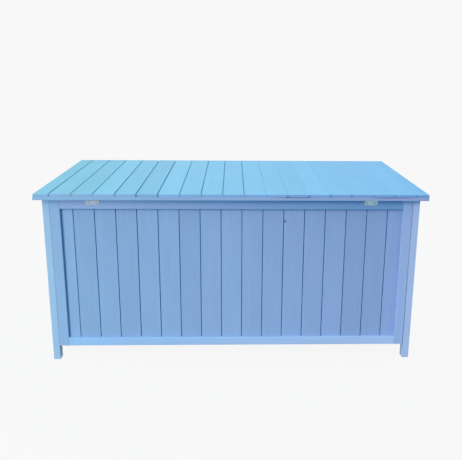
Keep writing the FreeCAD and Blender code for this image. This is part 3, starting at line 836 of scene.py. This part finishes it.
def painted(name, grain, across, slot, show=0, movement=0.0, coat=None, seam=0, opening=0.0,
            sink_most=SINK_MOST):
    """A worn, painted piece that stands for a timber's node.

    show is the direction, along the axis through the board, of the face that is seen, and movement
    is how far the driest board's edge has drawn back. seam is the direction, across the timber, of
    a neighbour that it has parted from, and opening is how far. sink_most is how far, at most, the
    face lies back.
    """
    axis, side = AXES[grain], AXES[across]
    axes = (axis, side, 3 - axis - side)
    timber = rounded_timber(name, axis)
    mark_faces(timber, name, axes, show, seam)
    draw = random.Random(f"{SEED} {name}")
    wear_boards(timber, axes, draw, show, movement, seam, opening, sink_most)
    piece = put_in_scene(name + "_painted", timber, coat or paints[slot])
    piece.data.set_sharp_from_angle(angle=SHARP_ANGLE)
    weigh = piece.modifiers.new("weighted normals", "WEIGHTED_NORMAL")
    weigh.keep_sharp = True
    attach(piece, nodes[name]["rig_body"])
    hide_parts(name)


print("the boards' chances come from the seed", SEED)

# %% [markdown]
# ## Dress every timber
# Each timber is named once, with the axes along and across its grain, and the side that is seen.
# The stiles have parted a little from the legs beside them, most at the right end, so a dark seam
# shows there. In two places the plane dug into the top of the lid's front batten, which leaves two
# dirty slits under the boards. From the sixteenth board on, the lid is nearly level, so that the
# paint could bridge its joints. Slits and seams could be dark lines in the paint, but a real
# opening is also right when it is seen from the side.

# %% Dress the timbers
# The hollows' places along the front batten, their reach to either side, and their depth
HOLLOWS = (193.0 * MM, 487.0 * MM)
HOLLOW_REACH = 50.0 * MM
HOLLOW_DEPTH = 4.6 * MM


def plane_hollow(name, place):
    """Dip a batten's top where the plane dug in, which leaves a dirty slit under the boards."""
    mesh = bpy.data.objects[name].data
    dirt = mesh.attributes["joint"].data
    for face in mesh.polygons:
        if face.normal.z > SQUARE_ON and abs(face.center.x - place) < HOLLOW_REACH:
            dirt[face.index].value = 1.0
    top = max(vert.co.z for vert in mesh.vertices)
    for vert in mesh.vertices:
        near = 1 - abs(vert.co.x - place) / HOLLOW_REACH
        if near > 0 and top - vert.co.z < SKIN:
            vert.co.z -= HOLLOW_DEPTH * near


# How far the driest boards have drawn back, and the lid boards that did so by another amount
MOVEMENT = 0.5 * MM
LID_DRYING = {1: 1.5 * MM, 2: 0.6 * MM, 3: 0.4 * MM, 5: 1.5 * MM, 6: 1.2 * MM, 8: 0.2 * MM, 9: 0.4 * MM,
              10: 0.2 * MM, 11: 0.2 * MM}
# How far a leg and the stile beside it have each drawn back, at either end of the chest
SEAM_OPENING = {"left": 0.1 * MM, "right": 0.7 * MM}
# The lid's boards, the first of those that lie nearly level, and how far these may lie back
LID_BOARDS = 19
FIRST_FLUSH = 16
FLUSH_SINK = 0.1 * MM

for side_name, show in (("hinge_side", -1), ("far_side", 1)):
    painted(f"{side_name}_boards", "Z", "X", "wall_board_paint", show, MOVEMENT)
    painted(f"{side_name}_top_rail", "X", "Z", "frame_paint")
    painted(f"{side_name}_bottom_rail", "X", "Z", "frame_paint", coat=bottom_rail_paint)
    painted(f"floor_bearer_{side_name}", "X", "Y", "floor_paint")
    painted(f"lid_batten_{side_name}", "X", "Y", "lid_batten_paint")
    for end_name, to_end in (("left", -1), ("right", 1)):
        opening = SEAM_OPENING[end_name]
        painted(f"{side_name}_{end_name}_leg", "Z", "X", "frame_paint", coat=leg_paint, seam=-to_end,
                opening=opening)
        painted(f"{side_name}_{end_name}_stile", "Z", "X", "frame_paint", coat=stile_paint, seam=to_end,
                opening=opening)
for place in HOLLOWS:
    plane_hollow("lid_batten_hinge_side_painted", place)
for end_name, show in (("left", -1), ("right", 1)):
    painted(f"{end_name}_end_boards", "Z", "Y", "wall_board_paint", show, MOVEMENT)
    painted(f"{end_name}_end_top_rail", "Y", "Z", "frame_paint", coat=stile_paint)
    painted(f"{end_name}_end_bottom_rail", "Y", "Z", "frame_paint", coat=bottom_rail_paint)
    painted(f"lid_batten_{end_name}", "Y", "X", "lid_batten_paint")
painted("floor_boards", "Y", "X", "floor_paint", 1, MOVEMENT)
painted("floor_bearer_middle", "X", "Y", "floor_paint")
painted("lid_batten_middle", "X", "Y", "lid_batten_paint")
for number in range(1, LID_BOARDS + 1):
    sink_most = SINK_MOST if number < FIRST_FLUSH else FLUSH_SINK
    painted(f"lid_board_{number:02d}", "Y", "X", "lid_board_paint", 1, LID_DRYING.get(number, MOVEMENT),
            sink_most=sink_most)

# %% [markdown]
# ## Paint that fills a joint
# Towards its right end the lid has had a thicker coat, and the paint has run into the joints and
# skinned over them, less in some places than in others. Shading alone can't close a gap, so each of
# these joints gets a film of paint, a narrow strip that is let down below the boards' faces by an
# amount that wanders along the joint. The last three films are wider and lie flush, because their
# joints hardly show. A film starts as a grid, and solidify gives it its thickness.

# %% Fill the joints at the right end of the lid
LID_JOINT_GAP = 1.6 * MM
FIRST_FILLED = 11
# A film's reach to either side of its joint, wider where it lies flush
FILM_REACH = 1.3 * MM
FLUSH_REACH = 2.4 * MM
FILM_THICKNESS = 0.4 * MM
FILM_LENGTHS = 60
# How deep the first film lies, how deep those towards the right, and the least that any does
FILM_SINK_FIRST = 1.7 * MM
FILM_SINK_LAST = 0.6 * MM
FILM_SINK_LEAST = SINK_MOST * 0.8
FILM_WANDER = 0.5 * MM
WANDER_LENGTH = 60.0 * MM
MIDDLE_TONE = 0.5


def paint_film(number):
    """The skin of paint between a lid board and the next one."""
    low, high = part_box(f"lid_board_{number + 1:02d}")
    joint = Vector((low.x - LID_JOINT_GAP / 2, 0, high.z))
    film = bmesh.new()
    bmesh.ops.create_grid(film, x_segments=2, y_segments=FILM_LENGTHS, size=1.0)
    half_length = (high.y - low.y) / 2 - FILM_THICKNESS
    flush = number >= FIRST_FLUSH
    bmesh.ops.scale(film, vec=(FLUSH_REACH if flush else FILM_REACH, half_length, 1), verts=film.verts)
    bmesh.ops.translate(film, vec=joint, verts=film.verts)
    timber_layer = film.verts.layers.float_vector.new("timber")
    tone_layer = film.verts.layers.float.new("tone")
    share = (number - FIRST_FILLED) / (LID_BOARDS - 1 - FIRST_FILLED)
    sink = FILM_SINK_FIRST + (FILM_SINK_LAST - FILM_SINK_FIRST) * min(1, share * 2)
    for vert in film.verts:
        vert[timber_layer] = Vector((vert.co.y, vert.co.x, 0)) + Vector((number, 0, 0))
        vert[tone_layer] = MIDDLE_TONE
        wander = noise.noise(Vector((number, vert.co.y / WANDER_LENGTH, 0)))
        vert.co.z -= FLUSH_SINK if flush else max(FILM_SINK_LEAST, sink + FILM_WANDER * wander)
    bmesh.ops.solidify(film, geom=film.faces[:], thickness=FILM_THICKNESS)
    bmesh.ops.recalc_face_normals(film, faces=film.faces)
    for face in film.faces:
        face.smooth = True
    piece = put_in_scene(f"joint_film_{number:02d}", film, paints["lid_board_paint"])
    piece.data.set_sharp_from_angle(angle=SHARP_ANGLE)
    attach(piece, "lid")


for number in range(FIRST_FILLED, LID_BOARDS):
    paint_film(number)
print("joints filled:", LID_BOARDS - FIRST_FILLED)

# %% [markdown]
# Paint also bridges most of the joints where they come out at the lid's edges, so only a few show
# there as dark ticks. Each bridge is a small plug just behind the boards' ends, and all of them are
# one mesh, because they are one coat of paint.

# %% Bridge the joints' ends
# The joints whose ends stay open, counted from the left
OPEN_ENDS = (5, 6, 12, 13, 14, 15)
PLUG_INSET = 0.3 * MM
PLUG_DROP = 0.6 * MM
PLUG_ARRIS = 0.08 * MM


def end_plugs():
    """The paint that bridges the ends of the lid's joints."""
    plugs = bmesh.new()
    end_layer = plugs.faces.layers.float.new("end_grain")
    tone_layer = plugs.verts.layers.float.new("tone")
    for number in range(1, LID_BOARDS):
        if number in OPEN_ENDS:
            continue
        low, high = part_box(f"lid_board_{number + 1:02d}")
        for end in (low.y + PLUG_INSET, high.y - PLUG_INSET):
            made = bmesh.ops.create_cube(plugs, size=1.0)
            tall = high.z - low.z - PLUG_DROP
            bmesh.ops.scale(plugs, vec=(2 * FILM_REACH, FILM_THICKNESS, tall), verts=made["verts"])
            place = Vector((low.x - LID_JOINT_GAP / 2, end, low.z + tall / 2))
            bmesh.ops.translate(plugs, vec=place, verts=made["verts"])
    bmesh.ops.bevel(plugs, geom=plugs.edges[:], offset=PLUG_ARRIS, affect="EDGES", segments=1, profile=0.5,
                    material=-1)
    for face in plugs.faces:
        face[end_layer] = 1.0
    for vert in plugs.verts:
        vert[tone_layer] = MIDDLE_TONE
    piece = put_in_scene("joint_end_paint", plugs, paints["lid_board_paint"])
    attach(piece, "lid")
    print(len(piece.data.polygons), "faces in the end plugs")


end_plugs()

# %% [markdown]
# ## Pieces that keep their own shape
# Nails, screws, dowels, hinge leaves and pins come in with the right shape already: their heads,
# slots, knuckles and holes are cut into them. They could be copied and bevelled as the timbers
# were, but their arrises are a tenth of a millimetre, so only their finish changes. A node's mesh
# stays as it is, and the new material goes into the object's own slots.

# %% Finish the metal and beech nodes
finishes = {
    "body_nails": nail_paint,
    "lid_nails": nail_paint,
    "frame_screws": screw_paint,
    "hinge_rail_screws": screw_zinc,
    "hinge_lid_screws": screw_zinc,
    "rail_dowels": dowel_beech,
}
for name, node in nodes.items():
    if name.startswith("hinge_") and name.endswith(("_leaf", "_pin")):
        finishes[name] = yellow_zinc if name.startswith("hinge_right") else hinge_zinc
for name, material in finishes.items():
    for number in range(len(nodes[name].material_slots)):
        nodes[name].material_slots[number].material = material
print(len(finishes), "nodes keep their shape")

# %% [markdown]
# ## Floor and background
# The chest stands on a white sheet of paper under soft boxes. The picture's ground is so bright that
# the chest's shadow hardly shows, and lamps that strong would wash out the blue. So the paper gives
# off its own white, but only to rays from the camera, from mirrors and through glass. To all other
# light it is a plain matt sheet that bounces a little cool light up at the chest, and near the chest
# it keeps a trace of real shading.

# %% Lay the paper
BACKGROUND = "f8f8f8"
SHEET_WHITE = "eeeeee"
FLOOR_BOUNCE = "778ca1"
FLOOR_SIZE = 30.0
# Up to the near distance from the chest's middle the paper's glow leaves room for a shadow
SHADOW_NEAR = 0.7
SHADOW_FAR = 2.4
GLOW_AT_CHEST = 0.965


def camera_or_mirror(tree):
    """1 for the camera, for mirror rays and for rays through glass, 0 for all other light."""
    path = add(tree, "LightPath").outputs
    seen = path["Is Camera Ray"]
    for other in ("Is Glossy Ray", "Is Transmission Ray"):
        seen = add(tree, "Math", None, {0: seen, 1: path[other]}, operation="MAXIMUM").outputs[0]
    return seen


floor_material, tree = empty_material("white paper")
seen = camera_or_mirror(tree)
sheet_colour = add(tree, "Mix", {MIX_A: linear(FLOOR_BOUNCE), MIX_B: linear(SHEET_WHITE)}, {"Factor": seen},
                   data_type="RGBA")
lit = add(tree, "BsdfDiffuse", None, {"Color": sheet_colour.outputs[MIX_RESULT]})
glow = add(tree, "Emission", {"Color": linear(BACKGROUND)})
where = add(tree, "TexCoord").outputs["Object"]
distance = add(tree, "VectorMath", None, {0: where}, operation="LENGTH").outputs["Value"]
away = add(tree, "MapRange",
           {"From Min": SHADOW_NEAR, "From Max": SHADOW_FAR, "To Min": GLOW_AT_CHEST, "To Max": 1.0},
           {"Value": distance}, interpolation_type="SMOOTHSTEP")
share = add(tree, "Math", None, {0: away.outputs["Result"], 1: seen}, operation="MULTIPLY")
both = add(tree, "MixShader", None, {0: share.outputs[0], 1: lit.outputs[0], 2: glow.outputs[0]})
add(tree, "OutputMaterial", None, {"Surface": both.outputs[0]})

sheet = bmesh.new()
bmesh.ops.create_grid(sheet, x_segments=1, y_segments=1, size=FLOOR_SIZE / 2)
floor = put_in_scene("floor", sheet, floor_material)
print("white paper,", FLOOR_SIZE, "m wide")

# %% [markdown]
# ## Light
# One large lamp would light every side alike and leave the joints flat. Here the room is bright
# above and dim at the horizon, a small lamp on the left and a large one in front shape the side
# that is seen, and low boxes at the ends and behind keep the other sides from going dark.

# %% Light the chest
# The room's light at the horizon and overhead, with its tint
HORIZON_LIGHT = 0.06
ZENITH_LIGHT = 1.45
ROOM_TINT = (0.87, 1.0, 1.03, 1.0)
world = bpy.data.worlds.new("studio")
bpy.context.scene.world = world
world.use_nodes = True
tree = world.node_tree
tree.nodes.clear()
height = add(tree, "SeparateXYZ", None, {"Vector": add(tree, "TexCoord").outputs["Generated"]}).outputs["Z"]
level = add(tree, "MapRange", {"To Min": HORIZON_LIGHT, "To Max": ZENITH_LIGHT}, {"Value": height})
room = add(tree, "Background", {"Color": ROOM_TINT}, {"Strength": level.outputs["Result"]})
backdrop = add(tree, "Background", {"Color": linear(BACKGROUND), "Strength": 1.0})
both = add(tree, "MixShader", None, {0: camera_or_mirror(tree), 1: room.outputs[0], 2: backdrop.outputs[0]})
add(tree, "OutputWorld", None, {"Surface": both.outputs[0]})


def soft_box(name, place, target, width, height, watts):
    """A rectangular lamp that faces a target."""
    data = bpy.data.lights.new(name, "AREA")
    data.shape = "RECTANGLE"
    data.size = width
    data.size_y = height
    data.energy = watts
    lamp = bpy.data.objects.new(name, data)
    bpy.context.scene.collection.objects.link(lamp)
    away_from_target = Vector(place) - Vector(target)
    lamp.matrix_world = Matrix.LocRotScale(Vector(place), away_from_target.to_track_quat("Z", "Y"), None)
    lamp.visible_camera = False


WALL_MIDDLE = (0, 0, 0.25)
LOW_BOX_HEIGHT = 0.27
LOW_BOX_DISTANCE = 3.2
# The left lamp is the strongest on the hinge side, and brightens its left end most
soft_box("left light", (-2.35, -2.9, 0.8), (-0.1, 0, 0.3), width=0.6, height=0.6, watts=44.0)
# The front lamp stands high, so the lid's overhang throws a shadow on the rail below it
soft_box("front light", (-1.1, -3.1, 2.6), (0, 0, 0.4), width=1.6, height=1.2, watts=28.5)
# The high lamp lifts the back of the lid a little
soft_box("high light", (0.2, 1.3, 1.0), (0, 0.2, 0.5), width=1.6, height=0.4, watts=1.5)
# The low boxes light the ends and the far side
for end_name, to_end in (("left", -1), ("right", 1)):
    soft_box(f"{end_name} end light", (to_end * LOW_BOX_DISTANCE, 0.4, LOW_BOX_HEIGHT), WALL_MIDDLE,
             width=1.4, height=0.5, watts=38.0)
soft_box("back light", (0.6, LOW_BOX_DISTANCE, LOW_BOX_HEIGHT), WALL_MIDDLE,
         width=2.8, height=0.5, watts=60.0)
lamps = [thing for thing in bpy.context.scene.objects if thing.type == "LIGHT"]
print(len(lamps), "lamps")
